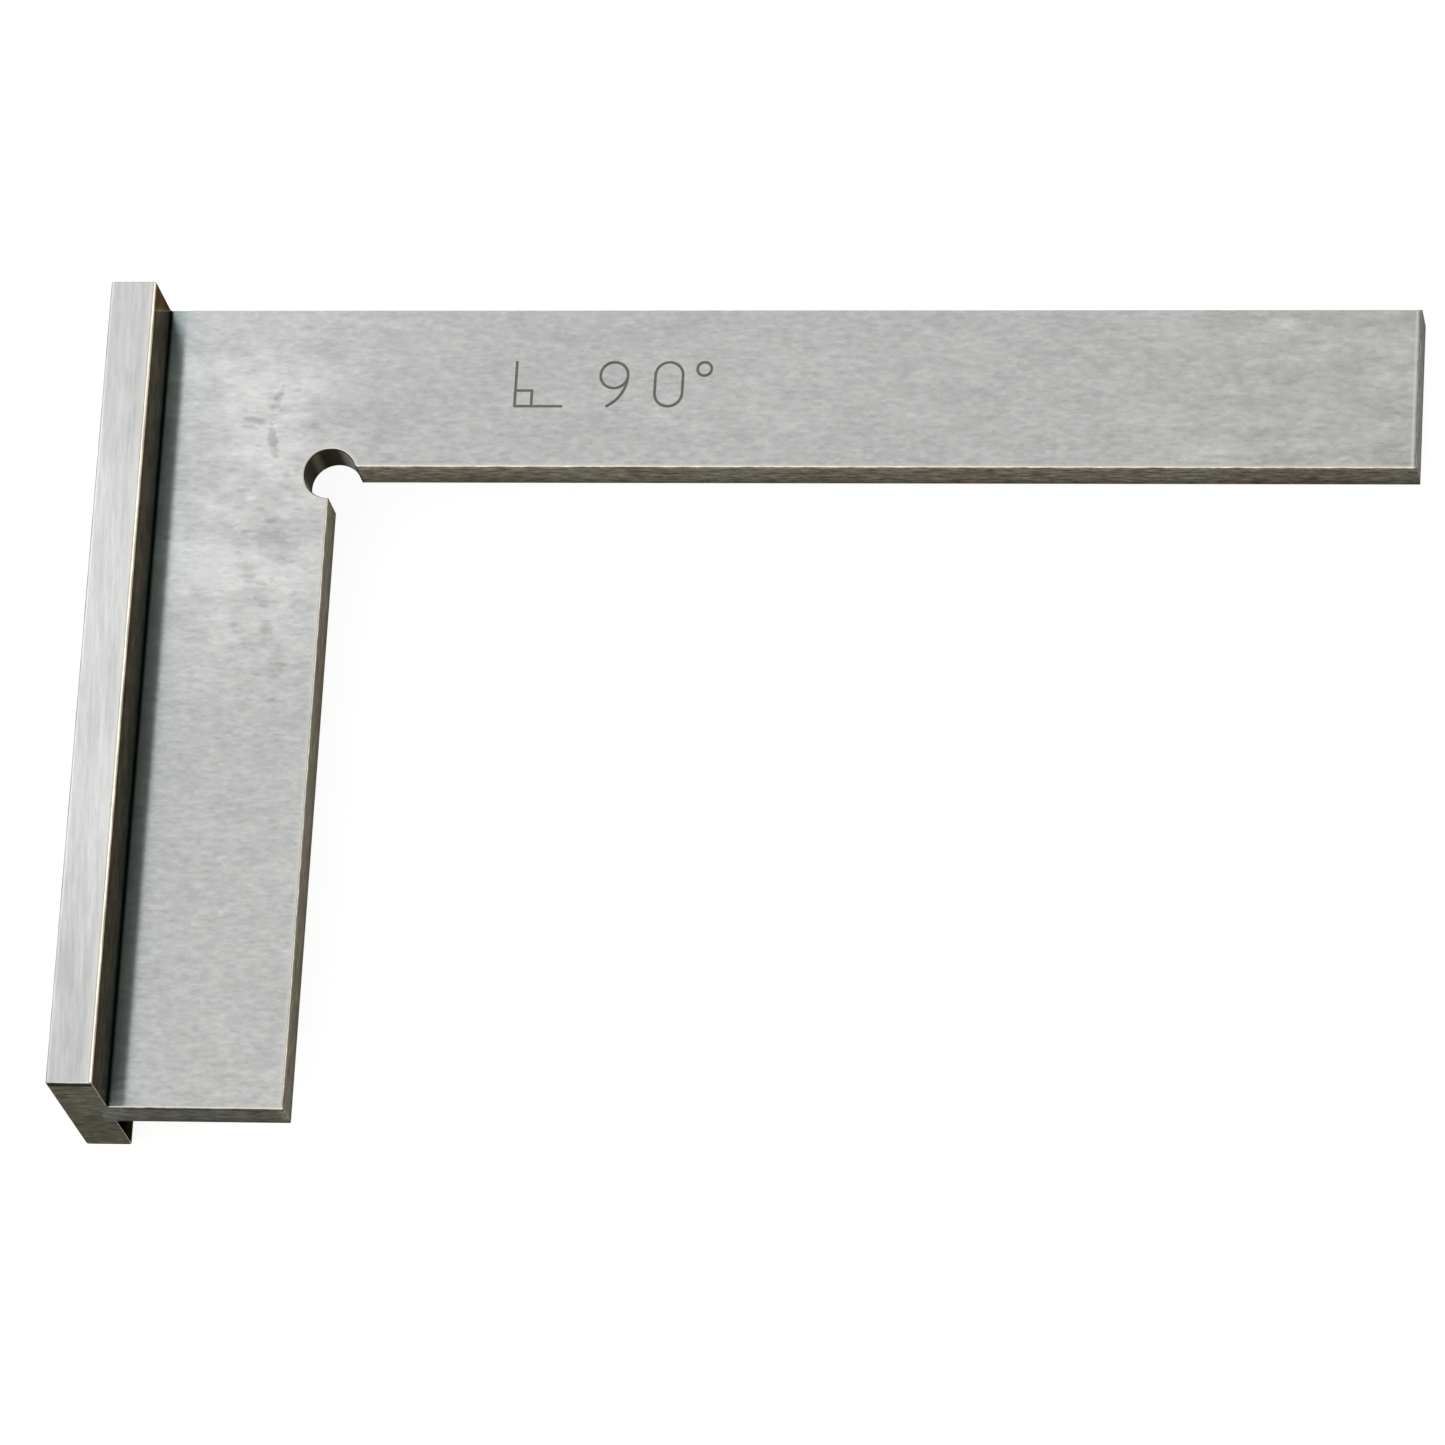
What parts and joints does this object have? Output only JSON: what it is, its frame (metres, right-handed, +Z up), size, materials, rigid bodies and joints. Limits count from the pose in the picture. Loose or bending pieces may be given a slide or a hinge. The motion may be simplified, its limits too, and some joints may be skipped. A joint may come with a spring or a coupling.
{
  "type": "machinist square",
  "caption": "Flat L-shaped steel square with a raised back along its short leg and a round relief hole in the inner corner.",
  "frame": {"origin": "middle of the underside of the overall box: the tool lies flat with its blade level", "axes": "+X along the long leg from the back to its tip, +Y along the back towards the long leg, +Z up, square to the blade"},
  "size_m": [0.1554, 0.1, 0.024],
  "materials": {
    "blade_steel": "surface ground, satin",
    "back_steel": "surface ground, satin",
    "screw_steel": "ground flush with the back",
    "pin_steel": "hardened, ground flush with the back"
  },
  "bodies": {
    "root": {"blade": "blade_steel", "back": "back_steel", "back_screw_1": "screw_steel", "back_screw_2": "screw_steel", "back_screw_3": "screw_steel", "dowel_pin_1": "pin_steel", "dowel_pin_2": "pin_steel"}
  },
  "joints": []
}
